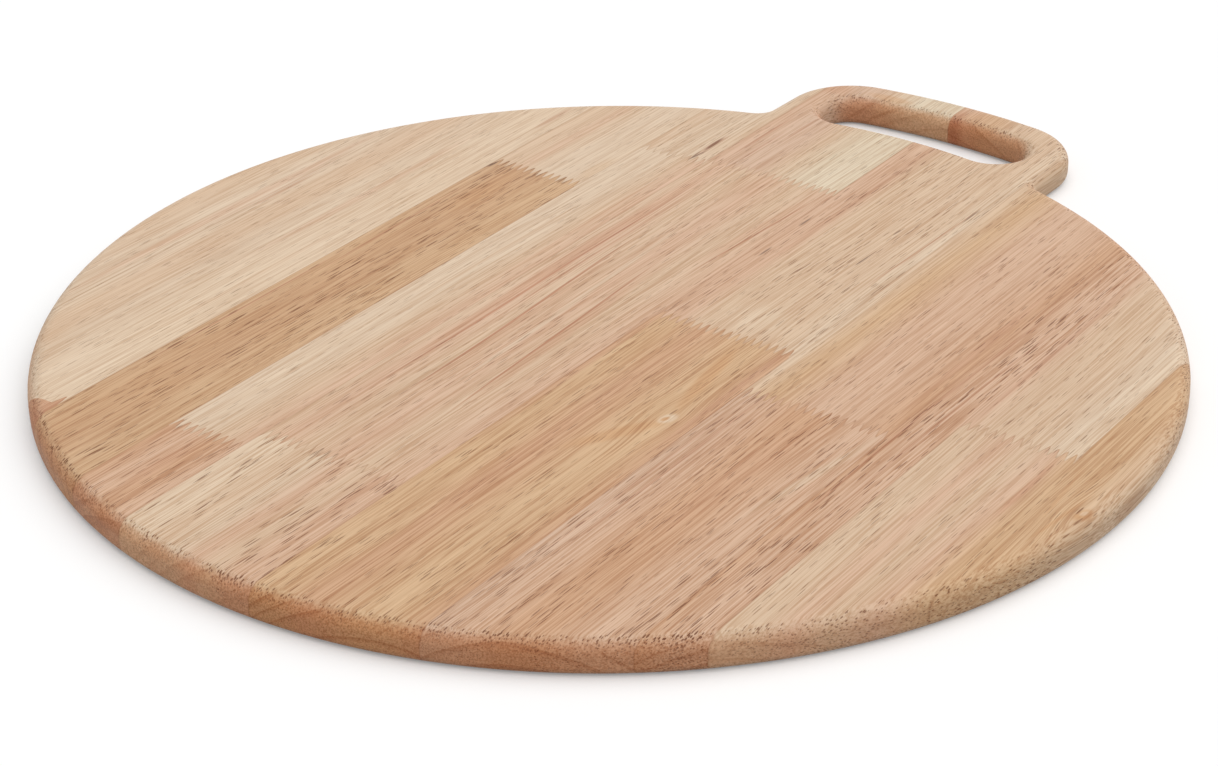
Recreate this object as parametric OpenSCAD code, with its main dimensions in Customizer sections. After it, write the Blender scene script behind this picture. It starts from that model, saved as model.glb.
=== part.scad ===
// Round wooden serving board with a loop handle, glued up from parallel staves.
// Most staves are made of shorter blocks that meet end to end in zig-zag finger joints.
// The origin is the centre of the round board, on its underside. +Y points to the handle, +Z up.
// Staves are numbered from the left, seen from above with the handle pointing away.

/* [Board] */
// Diameter of the round board
board_d = 400; // [380:1:420]
// Thickness of the panel
panel_t = 12; // [9:0.5:18]
// Radius of the upper edge, all round
top_round_r = 5.5; // [3:0.25:6]
// Radius of the lower edge, all round
bottom_round_r = 3.5; // [1:0.25:5]

/* [Handle] */
// How far the handle reaches past the round rim
handle_reach = 44.5; // [39:0.5:50]
// Width of the handle over both legs
handle_w = 125; // [113:1:137]
// Radial width of the bar at the handle's end
bar_w = 18.5; // [15:0.5:21]
// Width of each leg beside the grip opening
leg_w = 17; // [14:0.5:20]
// Strip of panel between the rim circle and the grip opening
web_w = 1.5; // [0.5:0.25:6]
// Outer corner radius of the handle
handle_corner_r = 30; // [24:0.5:36]
// Radius of the inside corners where the legs meet the round board
leg_fillet_r = 6; // [5:0.25:9]

/* [Staves] */
// Angle between the grain and the handle's axis, anticlockwise from above
grain_tilt = 1.6; // [0:0.1:3]
// Width of stave 1, out to the rim
stave_1_w = 30.5; // [26:0.1:35]
// Width of stave 2
stave_2_w = 52.4; // [48:0.1:56]
// Width of stave 3
stave_3_w = 40; // [36:0.1:44]
// Width of stave 4
stave_4_w = 29.2; // [25:0.1:33]
// Width of stave 5
stave_5_w = 58.1; // [54:0.1:62]
// Width of stave 6
stave_6_w = 55.8; // [52:0.1:60]
// Width of stave 7
stave_7_w = 54.8; // [50:0.1:58]
// Width of stave 8
stave_8_w = 16.3; // [12:0.1:20]
// Width of stave 9
stave_9_w = 41.2; // [37:0.1:45]
// Width of stave 10, out to the rim
stave_10_w = 21.7; // [18:0.1:26]

/* [Finger joints] */
// Distance from one finger to the next
finger_pitch = 3.1; // [2.5:0.1:5]
// Length of a finger along the grain
finger_l = 5.6; // [4:0.1:8]
// Width of a finger's blunt tip
finger_tip_w = 0.5; // [0.3:0.05:0.8]
// Place of the joint in stave 2 along the grain, from the board's centre, as a share of its radius
joint_2_share = -0.7385; // [-0.75:0.0005:-0.7]
// Share of the radius for the joint in stave 3
joint_3_share = 0.449; // [0.3:0.0005:0.55]
// Share of the radius for the upper joint in stave 4
joint_4_upper_share = 0.671; // [0.55:0.0005:0.725]
// Share of the radius for the lower joint in stave 4
joint_4_lower_share = -0.6865; // [-0.75:0.0005:-0.55]
// Share of the radius for the upper joint in stave 5
joint_5_upper_share = 0.687; // [0.55:0.0005:0.8]
// Share of the radius for the lower joint in stave 5
joint_5_lower_share = -0.6305; // [-0.75:0.0005:-0.5]
// Share of the radius for the joint in stave 6
joint_6_share = 0.079; // [-0.1:0.0005:0.3]
// Share of the radius for the joint in stave 7
joint_7_share = -0.074; // [-0.3:0.0005:0.1]
// Share of the radius for the joint in stave 9
joint_9_share = 0.026; // [-0.2:0.0005:0.2]

/* [Hidden] */
$fn = 128;

board_r = board_d / 2;
// Radii of the rounded edges, each kept within its own half of the panel
round_share = 0.48;
top_r = min(top_round_r, round_share * panel_t);
bottom_r = min(bottom_round_r, round_share * panel_t);
// How far cuts run past the faces that they cut
overrun = 1;

// Radii of the handle's outer edge and of the two long sides of its grip opening
handle_outer_r = board_r + handle_reach;
grip_outer_r = handle_outer_r - bar_w;
grip_inner_r = board_r + web_w;

// Angles and places of the handle's outline are rounded to these steps, so that neighbouring strips of it
// meet face to face also in a file that keeps few digits
angle_step = 0.001;
place_step = 0.001;

// The grip opening is a curved slot with round ends
grip_end_r = (grip_outer_r - grip_inner_r) / 2;
grip_mid_r = (grip_outer_r + grip_inner_r) / 2;
grip_half_angle = stepped(asin((handle_w / 2 - leg_w - grip_end_r) / grip_mid_r), angle_step);

// Strips of wood along the outline and round the grip opening hold the rounded edges. They take this share of
// the flat top of the handle's narrowest part, and the flat middle overlaps them by half their own flat part.
strip_share = 0.75;
strip_w = top_r + strip_share * (min(leg_w, bar_w) - 2 * top_r);
strip_inset = (strip_w + top_r) / 2;

// Centres of the handle's outer corners, tangent to the outer arc
corner_angle = stepped(acos((handle_w / 2 - handle_corner_r) / (handle_outer_r - handle_corner_r)), angle_step);
corner_x = (handle_outer_r - handle_corner_r) * cos(corner_angle);
corner_y = (handle_outer_r - handle_corner_r) * sin(corner_angle);

// Centres of the inside corners, where the legs meet the round rim
fillet_angle = stepped(acos((handle_w / 2 + leg_fillet_r) / (board_r + leg_fillet_r)), angle_step);
leg_l = stepped(corner_y - (board_r + leg_fillet_r) * sin(fillet_angle), place_step);
fillet_x = corner_x + handle_corner_r + leg_fillet_r;
fillet_y = corner_y - leg_l;

// The staves lie side by side across the whole board: as given, their widths add up to its diameter
stave_fit = board_d / (
  stave_1_w + stave_2_w + stave_3_w + stave_4_w + stave_5_w
  + stave_6_w + stave_7_w + stave_8_w + stave_9_w + stave_10_w
);

// Seams between staves, measured across the grain from the board's centre
seam_1_2 = stave_1_w * stave_fit - board_r;
seam_2_3 = seam_1_2 + stave_2_w * stave_fit;
seam_3_4 = seam_2_3 + stave_3_w * stave_fit;
seam_4_5 = seam_3_4 + stave_4_w * stave_fit;
seam_5_6 = seam_4_5 + stave_5_w * stave_fit;
seam_6_7 = seam_5_6 + stave_6_w * stave_fit;
seam_7_8 = seam_6_7 + stave_7_w * stave_fit;
seam_8_9 = seam_7_8 + stave_8_w * stave_fit;
seam_9_10 = seam_8_9 + stave_9_w * stave_fit;

// Beyond every edge of the board, where the cutting outlines of the outer blocks lie
far = handle_outer_r + 2 * handle_corner_r;

// Section of a plate, from x = 0 out to its rounded edge at x = r
module edge_section(r) {
  difference() {
    square([r, panel_t]);
    translate([r - top_r, panel_t - top_r]) difference() {
      square(top_r + overrun);
      circle(top_r);
    }
    translate([r - bottom_r, bottom_r]) difference() {
      translate([0, -bottom_r - overrun]) square(bottom_r + overrun);
      circle(bottom_r);
    }
  }
}

// Section of a strip whose rounded edge is at x = r and faces away from the centre that it turns about
module outer_strip(r) {
  translate([r - strip_w, 0]) edge_section(strip_w);
}

// Section of a strip whose rounded edge is at x = r and faces the centre that it turns about
module inner_strip(r) {
  translate([r + strip_w, 0]) mirror([1, 0]) edge_section(strip_w);
}

// The round board alone
module disc() {
  rotate_extrude() edge_section(board_r);
}

function stepped(value, step) = round(value / step) * step;

// Puts children at (x, y) in two moves, a stepped one and the rest, so that few digits hold the place exactly
module put_at(x, y) {
  stepped_x = stepped(x, place_step);
  stepped_y = stepped(y, place_step);
  translate([stepped_x, stepped_y, 0]) translate([x - stepped_x, y - stepped_y, 0]) children();
}

// Strips along the outline on the right side of the handle, each placed from the one before it:
// outer corner, leg, inside corner, and the rim down to the board's widest place
module outline_side() {
  put_at(corner_x, corner_y) rotate_extrude(angle = corner_angle) outer_strip(handle_corner_r);
  put_at(corner_x + handle_corner_r, corner_y) rotate([90, 0, 0]) linear_extrude(leg_l) outer_strip(0);
  put_at(fillet_x, fillet_y) rotate_extrude(start = 180, angle = fillet_angle) inner_strip(leg_fillet_r);
  put_at(
    fillet_x - (board_r + leg_fillet_r) * cos(fillet_angle),
    fillet_y - (board_r + leg_fillet_r) * sin(fillet_angle)
  ) rotate_extrude(start = fillet_angle, angle = -fillet_angle) outer_strip(board_r);
}

// Strips along the whole outline of the handle and the upper half of the rim
module outline_strips() {
  rotate_extrude(start = corner_angle, angle = 180 - 2 * corner_angle) outer_strip(handle_outer_r);
  outline_side();
  mirror([1, 0, 0]) outline_side();
}

// Round end of the grip opening on the right side
module grip_end() {
  put_at(grip_mid_r * sin(grip_half_angle), grip_mid_r * cos(grip_half_angle))
    rotate_extrude(start = -90 - grip_half_angle, angle = 180) inner_strip(grip_end_r);
}

// Strips round the grip opening: its two long sides and its two ends
module grip_strips() {
  rotate_extrude(start = 90 - grip_half_angle, angle = 2 * grip_half_angle) {
    inner_strip(grip_outer_r);
    outer_strip(grip_inner_r);
  }
  grip_end();
  mirror([1, 0, 0]) grip_end();
}

function reversed(line) = [for (i = [len(line) - 1 : -1 : 0]) line[i]];

// Point at the given angle on a circle about (x, y)
function on_circle(x, y, r, angle) = [x + r * cos(angle), y + r * sin(angle)];

// Outline of the handle's flat middle on its right side, from the board's centre up to the handle's axis
function flat_side() = [
  on_circle(0, 0, board_r - strip_inset, fillet_angle),
  on_circle(fillet_x, fillet_y, leg_fillet_r + strip_inset, 180 + fillet_angle / 2),
  on_circle(fillet_x, fillet_y, leg_fillet_r + strip_inset, 180),
  on_circle(corner_x, corner_y, handle_corner_r - strip_inset, 0),
  on_circle(corner_x, corner_y, handle_corner_r - strip_inset, corner_angle / 2),
  on_circle(corner_x, corner_y, handle_corner_r - strip_inset, corner_angle),
  on_circle(0, 0, handle_outer_r - strip_inset, 90)
];

// The flat middle of the board and its handle, with a plain window round the grip opening
module flat_middle() {
  difference() {
    linear_extrude(panel_t) {
      circle(board_r - strip_inset);
      polygon(concat(
        [[0, 0]],
        flat_side(),
        [for (point = reversed(flat_side())) if (point[0] > strip_inset) [-point[0], point[1]]]
      ));
    }
    rotate_extrude(start = 90 - grip_half_angle, angle = 2 * grip_half_angle)
      translate([grip_inner_r - strip_inset, -overrun])
        square([grip_outer_r - grip_inner_r + 2 * strip_inset, panel_t + 2 * overrun]);
    for (side = [-1, 1]) {
      rotate([0, 0, side * grip_half_angle]) translate([0, grip_mid_r, -overrun])
        cylinder(r = grip_end_r + strip_inset, h = panel_t + 2 * overrun);
    }
  }
}

// The board with its handle as one shape, from which the blocks near the handle are cut.
// The lower half of the rim is left out, because none of these blocks reaches it.
module board_with_handle() {
  flat_middle();
  outline_strips();
  grip_strips();
}

// Whether a finger's root, from x0 to x1 at place y along the grain, lies inside the flat of the round board
function rooted(x0, x1, y) = max(norm([x0, y]), norm([x1, y])) < board_r - top_r;

// Zig-zag line of a finger joint, from seam x0 to seam x1 at place y along the grain.
// Fingers that the rim would cut loose as chips are left out.
function finger_line(x0, x1, y) =
  let (
    count = max(3, round((x1 - x0) / finger_pitch)),
    step = (x1 - x0) / count,
    low = y - finger_l / 2,
    high = y + finger_l / 2
  )
  concat(
    [[x0, low]],
    [for (i = [0 : count - 1]) if (rooted(x0 + i * step, x0 + (i + 1) * step, low)) each [
      [x0 + i * step + finger_tip_w / 2, low],
      [x0 + (i + 0.5) * step - finger_tip_w / 2, high],
      [x0 + (i + 0.5) * step + finger_tip_w / 2, high],
      [x0 + (i + 1) * step - finger_tip_w / 2, low]
    ]],
    [[x1, low]]
  );

// Plain end of a block that runs past the rim of the board
function open_end(x0, x1, y) = [[x0, y], [x1, y]];

// Upright prism over an outline that is drawn along the grain, from its foot line to its head line
module block(foot_line, head_line) {
  rotate([0, 0, grain_tilt]) translate([0, 0, -overrun])
    linear_extrude(panel_t + 2 * overrun) polygon(concat(foot_line, reversed(head_line)));
}

// Block of the round board alone, between seams x0 and x1
module rim_block(foot_line, head_line) {
  intersection() {
    disc();
    block(foot_line, head_line);
  }
}

// Block that carries a part of the handle
module handle_block(foot_line, head_line) {
  intersection() {
    board_with_handle();
    block(foot_line, head_line);
  }
}

joint_2 = finger_line(seam_1_2, seam_2_3, joint_2_share * board_r);
joint_3 = finger_line(seam_2_3, seam_3_4, joint_3_share * board_r);
joint_4_upper = finger_line(seam_3_4, seam_4_5, joint_4_upper_share * board_r);
joint_4_lower = finger_line(seam_3_4, seam_4_5, joint_4_lower_share * board_r);
joint_5_upper = finger_line(seam_4_5, seam_5_6, joint_5_upper_share * board_r);
joint_5_lower = finger_line(seam_4_5, seam_5_6, joint_5_lower_share * board_r);
joint_6 = finger_line(seam_5_6, seam_6_7, joint_6_share * board_r);
joint_7 = finger_line(seam_6_7, seam_7_8, joint_7_share * board_r);
joint_9 = finger_line(seam_8_9, seam_9_10, joint_9_share * board_r);

module stave_01() {
  color("#d3aa80") rim_block(open_end(-far, seam_1_2, -far), open_end(-far, seam_1_2, far));
}

module stave_02_head() {
  color("#d8b48b") rim_block(joint_2, open_end(seam_1_2, seam_2_3, far));
}

module stave_02_foot() {
  color("#b98a5e") rim_block(open_end(seam_1_2, seam_2_3, -far), joint_2);
}

module stave_03_head() {
  color("#dcbd93") rim_block(joint_3, open_end(seam_2_3, seam_3_4, far));
}

module stave_03_foot() {
  color("#b98458") rim_block(open_end(seam_2_3, seam_3_4, -far), joint_3);
}

module stave_04_head() {
  color("#d4b08a") handle_block(joint_4_upper, open_end(seam_3_4, seam_4_5, far));
}

module stave_04_middle() {
  color("#dcb893") rim_block(joint_4_lower, joint_4_upper);
}

module stave_04_foot() {
  color("#c9976d") rim_block(open_end(seam_3_4, seam_4_5, -far), joint_4_lower);
}

module stave_05_head() {
  color("#dbbf97") handle_block(joint_5_upper, open_end(seam_4_5, seam_5_6, far));
}

module stave_05_middle() {
  color("#d2a883") rim_block(joint_5_lower, joint_5_upper);
}

module stave_05_foot() {
  color("#d8b78c") rim_block(open_end(seam_4_5, seam_5_6, -far), joint_5_lower);
}

module stave_06_head() {
  color("#d3a984") handle_block(joint_6, open_end(seam_5_6, seam_6_7, far));
}

module stave_06_foot() {
  color("#c69769") rim_block(open_end(seam_5_6, seam_6_7, -far), joint_6);
}

module stave_07_head() {
  color("#d4ad82") handle_block(joint_7, open_end(seam_6_7, seam_7_8, far));
}

module stave_07_foot() {
  color("#cb9a70") rim_block(open_end(seam_6_7, seam_7_8, -far), joint_7);
}

module stave_08() {
  color("#c68f69") rim_block(open_end(seam_7_8, seam_8_9, -far), open_end(seam_7_8, seam_8_9, far));
}

module stave_09_head() {
  color("#d2ab83") rim_block(joint_9, open_end(seam_8_9, seam_9_10, far));
}

module stave_09_foot() {
  color("#d4ac84") rim_block(open_end(seam_8_9, seam_9_10, -far), joint_9);
}

module stave_10() {
  color("#c99b62") rim_block(open_end(seam_9_10, far, -far), open_end(seam_9_10, far, far));
}

stave_01();
stave_02_head();
stave_02_foot();
stave_03_head();
stave_03_foot();
stave_04_head();
stave_04_middle();
stave_04_foot();
stave_05_head();
stave_05_middle();
stave_05_foot();
stave_06_head();
stave_06_foot();
stave_07_head();
stave_07_foot();
stave_08();
stave_09_head();
stave_09_foot();
stave_10();
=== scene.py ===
"""Looks of a round wooden serving board with a loop handle, around its CAD model."""
import math

import bpy
from mathutils import Euler, Matrix, Vector

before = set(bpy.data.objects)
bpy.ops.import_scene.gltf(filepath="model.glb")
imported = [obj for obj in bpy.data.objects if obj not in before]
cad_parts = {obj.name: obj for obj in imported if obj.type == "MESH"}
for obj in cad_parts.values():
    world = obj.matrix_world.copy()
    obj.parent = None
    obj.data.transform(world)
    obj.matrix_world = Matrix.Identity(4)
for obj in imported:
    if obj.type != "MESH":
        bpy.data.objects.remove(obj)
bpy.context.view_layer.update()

MM = 0.001

# Angle between the grain and the handle's axis, anticlockwise from above
GRAIN_TILT = math.radians(1.6)

# Tones of the oiled wood, as 8-bit screen colours
CREAM = (222, 199, 172)
GREEN_CREAM = (220, 203, 177)
PALE = (218, 195, 169)
TAN = (214, 186, 157)
PINK = (212, 177, 149)
GREY_PINK = (209, 177, 151)
GOLDEN = (209, 174, 136)
HONEY = (206, 171, 134)
BROWN = (205, 164, 130)
RUSSET = (201, 157, 126)
DEEP = (199, 160, 122)
AMBER = (200, 154, 109)
RUST = (184, 132, 101)
DARK = (92, 60, 42)

# What streaks, pores, end grain and glue do to the tone under them
STREAK_TINT = (0.78, 0.66, 0.56)
LIGHT_FIBRE_TINT = (1.07, 1.08, 1.09)
PORE_TINT = (0.32, 0.20, 0.14)
END_GRAIN_TINT = (1.04, 0.76, 0.59)
GLUE_TINT = (0.66, 0.52, 0.42)

# Seams between staves, in mm across the grain from the board's centre
SEAMS = (-200.0, -169.5, -117.1, -77.1, -47.9, 10.2, 66.0, 120.8, 137.1, 178.3, 200.0)
# Places of the finger joints of each stave, in mm along the grain, and the size of the fingers
JOINTS = {
    2: (-147.7,),
    3: (89.8,),
    4: (134.2, -137.3),
    5: (137.4, -126.1),
    6: (15.8,),
    7: (-14.8,),
    9: (5.2,),
}
FINGER_PITCH = 3.1
FINGER_LENGTH = 5.6
FEWEST_FINGERS = 3

# Each block: its stave, its tones from left to right as (mm across the grain, tone), how dense its pores are,
# how strong its streaks and growth rings are, and where the tree's heart lay, as (mm across the grain,
# mm above the underside). A knot is placed in mm across and along the grain. Its marks are long spots:
# (mm across the grain, mm along it, half width, half length, lean to the side per mm along the grain, tone,
# strength).
BLOCKS = {
    "stave_01": dict(
        stave=1, pores=0.3, streaks=0.4, rings=0.3, heart=(-150, -60),
        tones=[(-200, TAN), (-190, TAN), (-178, PALE), (-169, PALE)],
        marks=[(-170.5, 20, 0.5, 60, 0, RUST, 0.5), (-174, 0, 3, 120, 0, PINK, 0.6)],
    ),
    "stave_02_head": dict(
        stave=2, pores=0.25, streaks=0.4, rings=0.35, heart=(-120, -70),
        tones=[(-169, PALE), (-163, TAN), (-156, TAN), (-149, PALE), (-130, CREAM), (-117, CREAM)],
        marks=[
            (-123, 138, 1.6, 18, 0, RUST, 0.45), (-169, 20, 1.0, 26, 0, RUST, 0.5),
            (-140, 40, 2.5, 90, 0.01, PINK, 0.5), (-128, -40, 1.6, 70, 0, TAN, 0.6),
        ],
    ),
    "stave_02_foot": dict(
        stave=2, pores=0.7, streaks=0.9, rings=0.5, heart=(-120, 40),
        tones=[(-140, BROWN), (-117, RUSSET)],
        marks=[],
    ),
    "stave_03_head": dict(
        stave=3, pores=0.2, streaks=0.35, rings=0.25, heart=(-60, -70),
        tones=[(-117, TAN), (-104, TAN), (-94, PALE), (-84, PALE), (-77, CREAM)],
        marks=[(-80, 105, 4, 16, 0, GOLDEN, 0.35), (-105, 130, 4, 80, 0, PINK, 0.5)],
    ),
    "stave_03_foot": dict(
        stave=3, pores=1.0, streaks=0.75, rings=0.35, heart=(-130, -35),
        tones=[(-117, HONEY), (-108, DEEP), (-96, DEEP), (-88, HONEY), (-77, HONEY)],
        marks=[
            (-104, 66, 6, 34, 0.02, AMBER, 0.35), (-84, 20, 4, 80, 0, GOLDEN, 0.5),
            (-115.6, 87, 1.1, 5, 0, DARK, 0.8), (-112, 20, 0.6, 60, 0, RUST, 0.6),
            (-115, -60, 0.6, 70, 0, RUST, 0.7),
        ],
    ),
    "stave_04_head": dict(
        stave=4, pores=0.35, streaks=0.5, rings=0.3, heart=(-20, -60),
        tones=[(-77, TAN), (-66, PALE), (-56, PALE), (-48, TAN)],
        marks=[
            (-54.9, 151, 1.1, 9.5, -0.03, DARK, 1.0), (-54.4, 139, 0.5, 7, 0.10, DARK, 0.8),
            (-55.2, 138, 0.5, 6, -0.08, DARK, 0.6), (-54.7, 150, 2.0, 16, 0, RUST, 0.35),
        ],
    ),
    "stave_04_middle": dict(
        stave=4, pores=0.25, streaks=0.45, rings=0.3, heart=(-90, -80),
        tones=[(-77, PALE), (-64, PALE), (-57, TAN), (-48, PINK)],
        marks=[
            (-54, 60, 1.2, 80, 0, RUSSET, 0.4), (-66, 30, 1.4, 90, 0.01, TAN, 0.6),
            (-70, -80, 4, 60, 0, CREAM, 0.7),
        ],
    ),
    "stave_04_foot": dict(
        stave=4, pores=0.7, streaks=0.85, rings=0.4, heart=(-40, -50),
        tones=[(-77, BROWN), (-68, PINK), (-58, BROWN), (-48, PINK)],
        marks=[(-62, -160, 5, 20, 0, RUSSET, 0.5)],
    ),
    "stave_05_head": dict(
        stave=5, pores=0.35, streaks=0.5, rings=0.3, heart=(20, -60),
        tones=[
            (-48, PINK), (-38, GREY_PINK), (-28, GREY_PINK), (-20, TAN), (-8, GREEN_CREAM), (10, GREEN_CREAM),
        ],
        marks=[
            (-43, 170, 0.9, 30, 0, RUST, 0.6), (-38, 160, 0.7, 24, 0, RUST, 0.5),
            (-34, 185, 0.7, 20, 0, RUST, 0.5), (-20, 231, 14, 4, 0, AMBER, 0.5),
            (-44, 228, 10, 8, 0, RUSSET, 0.6),
        ],
    ),
    "stave_05_middle": dict(
        stave=5, pores=0.35, streaks=0.6, rings=0.45, heart=(-60, -45),
        tones=[(-48, TAN), (-40, PINK), (-30, TAN), (-18, PINK), (-6, TAN), (10, PINK)],
        marks=[
            (-38.9, 20, 0.7, 130, 0, RUST, 1.0), (-41.5, 30, 3.2, 120, 0, RUSSET, 0.6),
            (-35.5, 40, 0.6, 90, -0.005, RUST, 0.6), (-29.4, -10, 0.7, 100, -0.032, RUST, 1.0),
            (-27.5, -10, 3, 90, -0.032, RUSSET, 0.4), (-10, -17, 0.7, 95, -0.060, RUST, 1.0),
            (-7.6, -17, 3.2, 80, -0.060, RUSSET, 0.5), (4, 90, 0.6, 55, 0.07, RUST, 0.9),
            (1.5, 92, 2.6, 50, 0.07, RUSSET, 0.4), (-20, 0, 1.6, 110, -0.04, PALE, 0.6),
        ],
    ),
    "stave_05_foot": dict(
        stave=5, pores=1.0, streaks=0.7, rings=0.25, heart=(30, -60),
        tones=[
            (-48, CREAM), (-38, CREAM), (-30, TAN), (-22, PALE),
            (-14, PINK), (-6, TAN), (2, PINK), (10, PINK),
        ],
        marks=[(2, -140, 2.5, 26, 0, RUSSET, 0.4)],
    ),
    "stave_06_head": dict(
        stave=6, pores=0.6, streaks=0.6, rings=0.35, heart=(0, -50),
        tones=[(10, PINK), (20, PINK), (27, TAN), (36, TAN), (48, TAN), (58, TAN), (66, PALE)],
        marks=[
            (21, 130, 2.2, 90, 0, RUST, 0.25), (14, 109, 0.6, 6, 0, DARK, 0.7),
            (15.3, 79, 0.6, 6, 0, DARK, 0.7), (46.6, 120, 0.5, 4, 0, DARK, 0.6),
            (48.4, 93, 0.5, 7, 0, DARK, 0.6), (63, 148, 0.6, 9, 0, DARK, 0.6),
            (61.5, 115, 0.6, 55, 0.03, RUST, 0.6), (44, 32, 15, 14, 0, CREAM, 0.6),
            (14, 226, 6, 14, 0, RUSSET, 0.9), (26, 232, 14, 12, 0, AMBER, 0.5),
            (14, 222, 3, 14, 0, RUST, 0.6),
        ],
    ),
    "stave_06_foot": dict(
        stave=6, pores=0.5, streaks=0.8, rings=0.5, heart=(50, -40), knot=(55.3, -45.2),
        tones=[(10, GOLDEN), (20, GOLDEN), (30, BROWN), (46, GOLDEN), (56, GOLDEN), (66, BROWN)],
        marks=[
            (12, -20, 2.2, 90, 0, RUSSET, 0.6), (32, -100, 7, 48, 0.03, RUSSET, 0.2),
            (50.5, -14, 4, 34, -0.155, AMBER, 0.7), (47, -62, 5, 24, 0.5, AMBER, 0.6),
            (63.5, -20, 2.0, 60, 0, RUSSET, 0.6), (24, -150, 5, 30, 0, GOLDEN, 0.7),
            (55.3, -45.2, 3.4, 5.2, 0.2, CREAM, 0.9), (54.6, -46, 1.5, 2.6, 0.2, AMBER, 0.9),
        ],
    ),
    "stave_07_head": dict(
        stave=7, pores=0.5, streaks=0.55, rings=0.3, heart=(120, -60),
        tones=[(66, TAN), (76, GOLDEN), (90, PINK), (106, PINK), (120, BROWN)],
        marks=[
            (68, 40, 3, 70, 0, PALE, 0.6), (76, 60, 4, 60, 0, GOLDEN, 0.6),
            (117, 60, 2.2, 70, 0, RUSSET, 0.6),
        ],
    ),
    "stave_07_foot": dict(
        stave=7, pores=0.7, streaks=0.8, rings=0.4, heart=(90, -30),
        tones=[(66, GREY_PINK), (78, PINK), (88, BROWN), (98, BROWN), (110, PINK), (120, PINK)],
        marks=[
            (96, -60, 8, 62, 0.06, RUSSET, 0.3), (74, -60, 0.7, 90, 0, RUST, 0.5),
            (70, -80, 0.6, 80, 0, RUST, 0.4), (114, -50, 2.5, 40, 0.12, PALE, 0.6),
        ],
    ),
    "stave_08": dict(
        stave=8, pores=1.0, streaks=1.0, rings=0.4, heart=(150, -40),
        tones=[(120, BROWN), (129, PINK), (137, PINK)],
        marks=[(124, 0, 1.0, 150, 0, RUST, 0.45), (131, 20, 0.8, 110, 0, RUST, 0.4)],
    ),
    "stave_09_head": dict(
        stave=9, pores=0.45, streaks=0.5, rings=0.3, heart=(190, -60),
        tones=[(137, PINK), (146, TAN), (158, TAN), (170, PALE), (178, CREAM)],
        marks=[(139, 60, 1.6, 80, 0, RUST, 0.4)],
    ),
    "stave_09_foot": dict(
        stave=9, pores=0.4, streaks=0.5, rings=0.3, heart=(130, -70),
        tones=[(137, TAN), (146, TAN), (154, PINK), (162, TAN), (170, PINK), (178, GOLDEN)],
        marks=[(173, -20, 1.6, 30, 0, RUSSET, 0.8)],
    ),
    "stave_10": dict(
        stave=10, pores=0.35, streaks=0.8, rings=0.5, heart=(215, -20), knot=(195, -24),
        tones=[(178, GOLDEN), (190, GOLDEN), (200, TAN)],
        marks=[
            (195, -24, 2.8, 6, 0.3, AMBER, 0.8), (195, -23, 1.2, 2.6, 0.3, PALE, 0.5),
            (190, -30, 1.0, 22, 0.12, AMBER, 0.6), (184, -16, 1.2, 26, -0.1, AMBER, 0.4),
        ],
    ),
}


def linear(screen_colour):
    """An 8-bit screen colour as linear red, green, blue and alpha."""
    channels = []
    for value in screen_colour:
        share = value / 255
        channels.append(share / 12.92 if share <= 0.04045 else ((share + 0.055) / 1.055) ** 2.4)
    return (*channels, 1.0)


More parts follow.
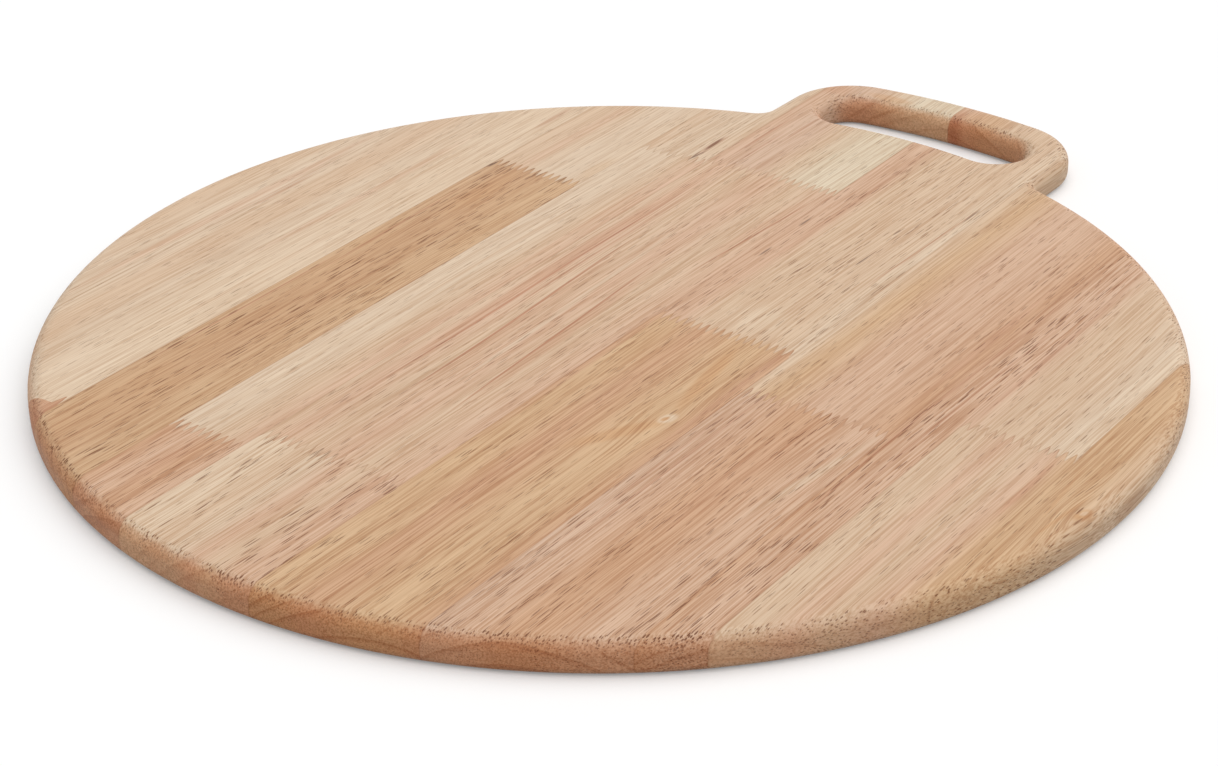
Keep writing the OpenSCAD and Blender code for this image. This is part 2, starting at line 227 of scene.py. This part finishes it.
class Tree:
    """Short calls for the nodes of one material."""

    def __init__(self, material):
        material.use_nodes = True
        self.nodes = material.node_tree.nodes
        self.links = material.node_tree.links

    def new(self, kind, **settings):
        node = self.nodes.new("ShaderNode" + kind)
        for name, value in settings.items():
            setattr(node, name, value)
        return node

    def feed(self, socket, value):
        """Gives a socket a plain value, or links another node's output to it."""
        if isinstance(value, bpy.types.NodeSocket):
            self.links.new(value, socket)
        else:
            socket.default_value = value

    def math(self, operation, *values):
        node = self.new("Math", operation=operation)
        for socket, value in zip(node.inputs, values):
            self.feed(socket, value)
        return node.outputs[0]

    def vector_math(self, operation, *values):
        node = self.new("VectorMath", operation=operation)
        for socket, value in zip(node.inputs, values):
            self.feed(socket, value)
        return node.outputs["Value" if operation in ("DOT_PRODUCT", "LENGTH") else "Vector"]

    def vector(self, x, y, z):
        node = self.new("CombineXYZ")
        for socket, value in zip(node.inputs, (x, y, z)):
            self.feed(socket, value)
        return node.outputs[0]

    def parts(self, vector):
        node = self.new("SeparateXYZ")
        self.feed(node.inputs[0], vector)
        return node.outputs[0], node.outputs[1], node.outputs[2]

    def step(self, value, low, high, out_low=0.0, out_high=1.0):
        """Goes smoothly from out_low to out_high while value goes from low to high."""
        node = self.new("MapRange", interpolation_type="SMOOTHSTEP")
        for socket, given in zip(node.inputs, (value, low, high, out_low, out_high)):
            self.feed(socket, given)
        return node.outputs[0]

    def noise(self, place, size, detail=2.0, roughness=0.5):
        """Soft random values about one half, with features of the given size."""
        node = self.new("TexNoise")
        self.feed(node.inputs["Vector"], self.vector_math("DIVIDE", place, size))
        node.inputs["Scale"].default_value = 1.0
        node.inputs["Detail"].default_value = detail
        node.inputs["Roughness"].default_value = roughness
        return node.outputs[0]

    def cells(self, place, size):
        """Distance from the nearest of many scattered points, with one point in each cell of this size."""
        node = self.new("TexVoronoi")
        self.feed(node.inputs["Vector"], self.vector_math("DIVIDE", place, size))
        node.inputs["Scale"].default_value = 1.0
        return node.outputs["Distance"]

    def mix(self, factor, a, b, blend_type="MIX"):
        node = self.new("Mix", data_type="RGBA", blend_type=blend_type)
        self.feed(node.inputs[0], factor)
        self.feed(node.inputs[6], a)
        self.feed(node.inputs[7], b)
        return node.outputs[2]

    def tinted(self, factor, colour, tint):
        """The colour, multiplied by the tint as far as the factor says."""
        return self.mix(factor, colour, (*tint, 1.0), "MULTIPLY")

    def ramp(self, value, stops):
        """Colour at value, between stops of (place, screen colour)."""
        low = stops[0][0]
        span = stops[-1][0] - low
        node = self.new("ValToRGB")
        self.feed(node.inputs[0], self.math("DIVIDE", self.math("SUBTRACT", value, low), span))
        elements = node.color_ramp.elements
        elements[0].color = linear(stops[0][1])
        elements[1].color = linear(stops[-1][1])
        for place, colour in stops[1:-1]:
            elements.new((place - low) / span).color = linear(colour)
        return node.outputs[0]


# Sizes of the wood's features in mm: across the grain, along it, and through the panel
WANDER_SIZE = (38, 170, 38)
FIBRE_SIZE = (0.6, 42, 0.6)
LINE_SIZE = (1.7, 130, 1.7)
BAND_SIZE = (5.0, 240, 5.0)
CLUSTER_SIZE = (7, 45, 7)
SHEEN_SIZE = (25, 60, 25)
# Each block's pattern starts this far from the one before it, in mm, so that no two match
BLOCK_STEP = (113.7, 471.3, 67.9)

# How far fibres wander to the side, in mm, and the share of it by which they wander up and down
WANDER = 5.0
WANDER_UP_SHARE = 0.5
# Reach of a knot's swirl, in mm across and along the grain, and how far it bends the fibres round it
KNOT_REACH = (7.0, 16.0)
KNOT_BEND = 0.75
# A mark is plain up to the first share of its own size, and gone at the second
MARK_EDGE = (0.35, 1.0)

# Bands and fibres: the pattern values between which they fade in or out. Lines lie where their pattern is
# near a half.
BAND_FADE = (0.42, 0.70)
BAND_STRENGTH = 0.20
LINE_HALF_WIDTH = 0.035
LINE_STRENGTH = 0.85
DARK_FIBRE_FADE = (0.45, 0.62)
LIGHT_FIBRE_FADE = (0.34, 0.44)
# Strength of dark fibres in a block with streaks of 0 and of 1
DARK_FIBRE_STRENGTH = (0.35, 1.0)

# Width of the growth rings in mm, and how unevenly they are spaced, in rings: the spacing changes over these
# distances, in mm from the heart, in mm along the grain, and in blocks
RING_WIDTH = 6.5
RING_SWING = 4.0
RING_SWING_SIZE = (14.0, 600.0, 1.0)
# Each ring darkens between these shares of its width, and more strongly where the wood is cut across
RING_FADE = (0.55, 0.98)
RING_STRENGTH = (0.35, 1.9)

# The wood looks more and more like end grain between these two amounts of being cut across: 0 is a surface
# along the grain, and 1 is one straight across it. The same measure is used for the dots below.
END_GRAIN_FADE = (0.25, 0.9)
# Pores turn from dashes into dots where the surface starts to turn across, and the dots are weaker again
# on full end grain
DOTS_FADE_IN = (0.06, 0.28)
DOTS_FADE_OUT = (0.8, 1.0)
DOTS_ON_END_GRAIN = 0.3

# Two kinds of pores, which are spots round scattered points. Their size is the spacing of these points in mm.
# Their reach is a share of it: where pores are sparse, where they are dense in a block with pores of 0 and
# of 1, and what is added where the wood is cut across.
FINE_PORES = dict(
    size=(0.75, 14, 0.75), cluster_fade=(0.30, 0.66), edge=(-0.05, 0.03),
    sparse_reach=0.12, dense_reach=(0.20, 0.30), dot_reach=0.11,
)
LARGE_PORES = dict(
    size=(1.2, 24, 1.2), cluster_fade=(0.38, 0.70), edge=(-0.03, 0.03),
    sparse_reach=0.02, dense_reach=(0.06, 0.20), dot_reach=0.02,
)
LARGE_PORE_STRENGTH = 0.75
# Strength of fine pores along the grain in a block with pores of 0 and of 1, on end grain, and added to dots
FINE_PORE_STRENGTH = (0.42, 0.78)
FINE_PORE_END_STRENGTH = 0.2
FINE_PORE_DOT_STRENGTH = 0.18

# Glue lines fade out between these distances in mm
SEAM_GLUE_FADE = (0.05, 0.45)
SEAM_GLUE_STRENGTH = 0.45
FINGER_GLUE_FADE = (0.05, 0.35)
FINGER_GLUE_STRENGTH = 0.4

# Oiled finish: roughness of its glossier and duller places, added roughness of pores, and reflection
SHEEN_FADE = (0.3, 0.7)
SHEEN_ROUGHNESS = (0.48, 0.60)
PORE_ROUGHNESS = 0.25
REFLECTION = 0.3
# Relief of fibres and pores
RELIEF_STRENGTH = 0.6
RELIEF_DEPTH = 0.08 * MM
FIBRE_RELIEF = 0.6


def between(low, high, share):
    return low + (high - low) * share


def grain_place(tree):
    """Place in mm: x across the grain, y along it, z above the underside."""
    coordinates = tree.new("TexCoord")
    turned = tree.new("Mapping")
    tree.feed(turned.inputs["Vector"], coordinates.outputs["Object"])
    turned.inputs["Scale"].default_value = (1 / MM, 1 / MM, 1 / MM)
    turned.inputs["Rotation"].default_value = (0.0, 0.0, -GRAIN_TILT)
    return turned.outputs[0]


def squared_share(tree, distance, reach):
    return tree.math("POWER", tree.math("ABSOLUTE", tree.math("DIVIDE", distance, reach)), 2.0)


def bent_round_knot(tree, x, y, knot):
    """Place across the grain, with the fibres bent out round a knot."""
    aside = tree.math("SUBTRACT", x, float(knot[0]))
    along = tree.math("SUBTRACT", y, float(knot[1]))
    across_share = squared_share(tree, aside, KNOT_REACH[0])
    along_share = squared_share(tree, along, KNOT_REACH[1])
    farness = tree.math("ADD", across_share, along_share)
    closeness = tree.math("EXPONENT", tree.math("MULTIPLY", farness, -1.0))
    bend = tree.math("MULTIPLY", tree.math("MULTIPLY", aside, closeness), KNOT_BEND)
    return tree.math("SUBTRACT", x, bend)


def add_mark(tree, colour, x, y, mark):
    """Mixes a long soft spot of another tone into the colour."""
    middle_x, middle_y, half_width, half_length, lean, tone, strength = mark
    along = tree.math("SUBTRACT", y, float(middle_y))
    from_middle = tree.math("SUBTRACT", x, float(middle_x))
    aside = tree.math("SUBTRACT", from_middle, tree.math("MULTIPLY", along, float(lean)))
    aside_share = tree.math("DIVIDE", aside, half_width)
    along_share = tree.math("DIVIDE", along, half_length)
    reach = tree.vector_math("LENGTH", tree.vector(aside_share, along_share, 0.0))
    return tree.mix(tree.step(reach, *MARK_EDGE, strength, 0.0), colour, linear(tone))


def add_streaks(tree, colour, own, fibre, streaks):
    """Bands, long thin lines, and dark and light fibres along the grain."""
    band = tree.noise(own, BAND_SIZE, detail=3.0, roughness=0.55)
    band_strength = tree.step(band, *BAND_FADE, 0.0, BAND_STRENGTH * streaks)
    colour = tree.tinted(band_strength, colour, STREAK_TINT)
    line = tree.noise(own, LINE_SIZE, detail=3.0, roughness=0.6)
    line_distance = tree.math("ABSOLUTE", tree.math("SUBTRACT", line, 0.5))
    line_strength = tree.step(line_distance, 0.0, LINE_HALF_WIDTH, LINE_STRENGTH * streaks, 0.0)
    colour = tree.tinted(line_strength, colour, STREAK_TINT)
    dark_strength = tree.step(fibre, *DARK_FIBRE_FADE, 0.0, between(*DARK_FIBRE_STRENGTH, streaks))
    colour = tree.tinted(dark_strength, colour, STREAK_TINT)
    return tree.tinted(tree.step(fibre, *LIGHT_FIBRE_FADE, 1.0, 0.0), colour, LIGHT_FIBRE_TINT)


def growth_rings(tree, x, y, z, number, heart):
    """1 at the dark outer edge of each growth ring round the heart of the tree."""
    from_heart = tree.vector_math(
        "LENGTH",
        tree.vector(tree.math("SUBTRACT", x, heart[0]), 0.0, tree.math("SUBTRACT", z, heart[1])),
    )
    swing = tree.noise(tree.vector(from_heart, y, float(number)), RING_SWING_SIZE)
    rings_out = tree.math("DIVIDE", from_heart, RING_WIDTH)
    turns = tree.math("ADD", rings_out, tree.math("MULTIPLY", swing, RING_SWING))
    return tree.step(tree.math("FRACT", turns), *RING_FADE)


def cut_across(tree):
    """0 where the surface runs along the grain, up to 1 where it is cut straight across."""
    normal = tree.new("NewGeometry").outputs["Normal"]
    grain_direction = (-math.sin(GRAIN_TILT), math.cos(GRAIN_TILT), 0.0)
    return tree.math("ABSOLUTE", tree.vector_math("DOT_PRODUCT", normal, grain_direction))


def pore_spots(tree, own, cluster, dots, pores, kind):
    """1 inside the pores of one kind."""
    dense_reach = between(*kind["dense_reach"], pores)
    reach = tree.step(cluster, *kind["cluster_fade"], kind["sparse_reach"], dense_reach)
    reach = tree.math("ADD", reach, tree.math("MULTIPLY", dots, kind["dot_reach"]))
    past_edge = tree.math("SUBTRACT", tree.cells(own, kind["size"]), reach)
    return tree.step(past_edge, *kind["edge"], 1.0, 0.0)


def open_pores(tree, own, across, end_grain, pores):
    """Strength of open pores: short dashes along the grain, and dots where the wood is cut across."""
    cluster = tree.noise(own, CLUSTER_SIZE, detail=1.0)
    dots = tree.math(
        "MULTIPLY",
        tree.step(across, *DOTS_FADE_IN),
        tree.step(across, *DOTS_FADE_OUT, 1.0, DOTS_ON_END_GRAIN),
    )
    fine = pore_spots(tree, own, cluster, dots, pores, FINE_PORES)
    large = pore_spots(tree, own, cluster, dots, pores, LARGE_PORES)
    face_strength = between(*FINE_PORE_STRENGTH, pores)
    fine_strength = tree.math(
        "ADD",
        tree.step(end_grain, 0.0, 1.0, face_strength, FINE_PORE_END_STRENGTH),
        tree.math("MULTIPLY", dots, FINE_PORE_DOT_STRENGTH),
    )
    fine = tree.math("MULTIPLY", fine, fine_strength)
    return tree.math("MAXIMUM", fine, tree.math("MULTIPLY", large, LARGE_PORE_STRENGTH))


def glue_at_seams(tree, x, stave):
    """1 in the thin glue lines on both sides of a stave."""
    to_left = tree.math("ABSOLUTE", tree.math("SUBTRACT", x, SEAMS[stave - 1]))
    to_right = tree.math("ABSOLUTE", tree.math("SUBTRACT", x, SEAMS[stave]))
    return tree.step(tree.math("MINIMUM", to_left, to_right), *SEAM_GLUE_FADE, 1.0, 0.0)


def glue_at_fingers(tree, x, y, stave, joint):
    """1 in the thin glue line along a zig-zag finger joint."""
    width = SEAMS[stave] - SEAMS[stave - 1]
    pitch = width / max(FEWEST_FINGERS, round(width / FINGER_PITCH))
    folded = tree.math("PINGPONG", tree.math("SUBTRACT", x, SEAMS[stave - 1]), pitch / 2)
    slope = FINGER_LENGTH / (pitch / 2)
    height = tree.math("ADD", tree.math("MULTIPLY", folded, slope), joint - FINGER_LENGTH / 2)
    apart = tree.math("DIVIDE", tree.math("ABSOLUTE", tree.math("SUBTRACT", y, height)), slope)
    return tree.step(apart, *FINGER_GLUE_FADE, 1.0, 0.0)


def glue_lines(tree, x, y, stave):
    """Strength of all glue lines round the blocks of a stave."""
    glue = tree.math("MULTIPLY", glue_at_seams(tree, x, stave), SEAM_GLUE_STRENGTH)
    for joint in JOINTS.get(stave, ()):
        fingers = glue_at_fingers(tree, x, y, stave, joint)
        glue = tree.math("MAXIMUM", glue, tree.math("MULTIPLY", fingers, FINGER_GLUE_STRENGTH))
    return glue


def oil_finish(tree, colour, own, fibre, pore):
    """Satin surface with the relief of fibres and pores."""
    shader = tree.nodes["Principled BSDF"]
    tree.feed(shader.inputs["Base Color"], colour)
    sheen = tree.noise(own, SHEEN_SIZE)
    roughness = tree.step(sheen, *SHEEN_FADE, *SHEEN_ROUGHNESS)
    roughness = tree.math("ADD", roughness, tree.math("MULTIPLY", pore, PORE_ROUGHNESS))
    tree.feed(shader.inputs["Roughness"], roughness)
    shader.inputs["Specular IOR Level"].default_value = REFLECTION

    bump = tree.new("Bump")
    bump.inputs["Strength"].default_value = RELIEF_STRENGTH
    bump.inputs["Distance"].default_value = RELIEF_DEPTH
    height = tree.math("SUBTRACT", tree.math("MULTIPLY", fibre, FIBRE_RELIEF), pore)
    tree.feed(bump.inputs["Height"], height)
    tree.feed(shader.inputs["Normal"], bump.outputs[0])


def wood(name, number, stave, tones, marks, pores, streaks, rings, heart, knot=None):
    """Oiled wood of one block, worked out in three dimensions, so that its end grain fits its face."""
    material = bpy.data.materials.new("wood_" + name)
    tree = Tree(material)
    place = grain_place(tree)
    flat_x, y, flat_z = tree.parts(place)

    # Fibres wander slowly to the side along the block
    shift = tuple(step * number for step in BLOCK_STEP)
    wander = tree.noise(tree.vector_math("ADD", place, shift), WANDER_SIZE, detail=1.0)
    aside = tree.math("MULTIPLY", tree.math("SUBTRACT", wander, 0.5), WANDER)
    x = tree.math("ADD", flat_x, aside)
    z = tree.math("ADD", flat_z, tree.math("MULTIPLY", aside, WANDER_UP_SHARE))
    fibre_x = bent_round_knot(tree, x, y, knot) if knot else x
    own = tree.vector_math("ADD", tree.vector(fibre_x, y, z), shift)

    # Tones from side to side, what stands out in this block, and its fibres
    colour = tree.ramp(x, tones)
    for mark in marks:
        colour = add_mark(tree, colour, x, y, mark)
    fibre = tree.noise(own, FIBRE_SIZE, roughness=0.6)
    colour = add_streaks(tree, colour, own, fibre, streaks)

    # Wood cut across the grain takes up more oil and is darker
    across = cut_across(tree)
    end_grain = tree.step(across, *END_GRAIN_FADE)
    colour = tree.tinted(end_grain, colour, END_GRAIN_TINT)
    ring = growth_rings(tree, fibre_x, y, z, number, heart)
    ring_strength = tree.math("MULTIPLY", tree.step(end_grain, 0.0, 1.0, *RING_STRENGTH), rings)
    colour = tree.tinted(tree.math("MULTIPLY", ring, ring_strength), colour, STREAK_TINT)

    pore = open_pores(tree, own, across, end_grain, pores)
    colour = tree.tinted(pore, colour, PORE_TINT)
    colour = tree.tinted(glue_lines(tree, flat_x, y, stave), colour, GLUE_TINT)
    oil_finish(tree, colour, own, fibre, pore)
    return material


def dress_blocks():
    for number, (name, recipe) in enumerate(BLOCKS.items(), start=1):
        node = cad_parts[name]
        material = wood(name, number, **recipe)
        node.data.materials.clear()
        node.data.materials.append(material)


# Camera fitted to the photograph, whose width and focal length are in pixels
PICTURE_WIDTH = 1218
FOCAL_PIXELS = 2737.98
CAMERA_ELEVATION = math.radians(28.4118)
CAMERA_AZIMUTH = math.radians(37.0)
CAMERA_ROLL = math.radians(-0.6691)
CAMERA_DISTANCE = 941.66 * MM
AIM_BEFORE_CENTRE = 22.02 * MM
SENSOR_WIDTH = 36.0
# The camera sees what lies between these distances, in metres
NEAREST = 0.01
FARTHEST = 100.0


def add_camera():
    """Camera that looks at a point just before the board's centre."""
    data = bpy.data.cameras.new("camera")
    data.sensor_fit = "HORIZONTAL"
    data.sensor_width = SENSOR_WIDTH
    data.lens = FOCAL_PIXELS * SENSOR_WIDTH / PICTURE_WIDTH
    data.clip_start = NEAREST
    data.clip_end = FARTHEST
    camera = bpy.data.objects.new("camera", data)
    bpy.context.scene.collection.objects.link(camera)
    tilt = Euler((math.pi / 2 - CAMERA_ELEVATION, 0.0, 0.0)).to_matrix().to_4x4()
    roll = Matrix.Rotation(CAMERA_ROLL, 4, "Z")
    back = tilt @ Vector((0.0, 0.0, 1.0))
    aim = Vector((0.0, -AIM_BEFORE_CENTRE, 0.0))
    turn = Matrix.Rotation(CAMERA_AZIMUTH, 4, "Z")
    camera.matrix_world = turn @ Matrix.Translation(aim + CAMERA_DISTANCE * back) @ tilt @ roll
    bpy.context.scene.camera = camera


# Light levels: together they light a level face so that its colour renders as it is written
WORLD_LEVEL = 0.42
WORLD_TINT = (0.90, 1.01, 1.08, 1.0)
WHITE = (1.0, 1.0, 1.0, 1.0)
KEY_LEVEL = 0.60
KEY_TINT = (1.07, 0.993, 0.944)
# The lamp stands to the right of the camera's view and a little behind the object
KEY_ELEVATION = math.radians(72)
KEY_AZIMUTH = CAMERA_AZIMUTH + math.radians(8)
KEY_SOFTNESS = math.radians(90)
# Tone of the floor in the light that it sends back on to the object
FLOOR_TONE = 0.50
# Share of plain, unshaded white in the floor as the camera sees it
FLOOR_WHITE_SHARE = 0.2
FLOOR_SIZE = 40.0
# The floor lies this far below the underside, so that the two faces don't share one plane
FLOOR_DROP = 0.05 * MM


def add_light():
    """One large soft lamp from above."""
    data = bpy.data.lights.new("key_light", "SUN")
    data.energy = KEY_LEVEL * math.pi / math.sin(KEY_ELEVATION)
    data.color = KEY_TINT
    data.angle = KEY_SOFTNESS
    lamp = bpy.data.objects.new("key_light", data)
    bpy.context.scene.collection.objects.link(lamp)
    toward = Vector((
        math.cos(KEY_ELEVATION) * math.cos(KEY_AZIMUTH),
        math.cos(KEY_ELEVATION) * math.sin(KEY_AZIMUTH),
        math.sin(KEY_ELEVATION),
    ))
    lamp.matrix_world = toward.to_track_quat("Z", "Y").to_matrix().to_4x4()


def seen_directly(tree):
    """1 where the camera sees the surface itself, in a reflection or through glass, else 0."""
    path = tree.new("LightPath")
    either = tree.math("MAXIMUM", path.outputs["Is Camera Ray"], path.outputs["Is Glossy Ray"])
    return tree.math("MAXIMUM", either, path.outputs["Is Transmission Ray"])


def add_world():
    """Even light from all sides, in front of a white background."""
    world = bpy.data.worlds.new("studio")
    bpy.context.scene.world = world
    tree = Tree(world)
    background = tree.nodes["Background"]
    seen = seen_directly(tree)
    tree.feed(background.inputs["Color"], tree.mix(seen, WORLD_TINT, WHITE))
    tree.feed(background.inputs["Strength"], tree.step(seen, 0.0, 1.0, WORLD_LEVEL, 1.0))


def add_floor():
    """White floor that keeps the object's shadow."""
    half = FLOOR_SIZE / 2
    mesh = bpy.data.meshes.new("floor")
    corners = [(-half, -half, 0), (half, -half, 0), (half, half, 0), (-half, half, 0)]
    mesh.from_pydata(corners, [], [(0, 1, 2, 3)])
    floor = bpy.data.objects.new("floor", mesh)
    bpy.context.scene.collection.objects.link(floor)
    floor.location.z = -FLOOR_DROP
    material = bpy.data.materials.new("floor")
    tree = Tree(material)
    shader = tree.nodes["Principled BSDF"]
    seen = seen_directly(tree)
    level = tree.step(seen, 0.0, 1.0, FLOOR_TONE, 1.0)
    tree.feed(shader.inputs["Base Color"], tree.vector(level, level, level))
    shader.inputs["Roughness"].default_value = 1.0
    shader.inputs["Specular IOR Level"].default_value = 0.0
    white = tree.new("Emission")
    blend = tree.new("MixShader")
    tree.feed(blend.inputs[0], tree.math("MULTIPLY", seen, FLOOR_WHITE_SHARE))
    tree.feed(blend.inputs[1], shader.outputs[0])
    tree.feed(blend.inputs[2], white.outputs[0])
    tree.feed(tree.nodes["Material Output"].inputs["Surface"], blend.outputs[0])
    mesh.materials.append(material)


def main():
    bpy.context.scene.view_settings.view_transform = "Standard"
    dress_blocks()
    add_camera()
    add_light()
    add_world()
    add_floor()


main()
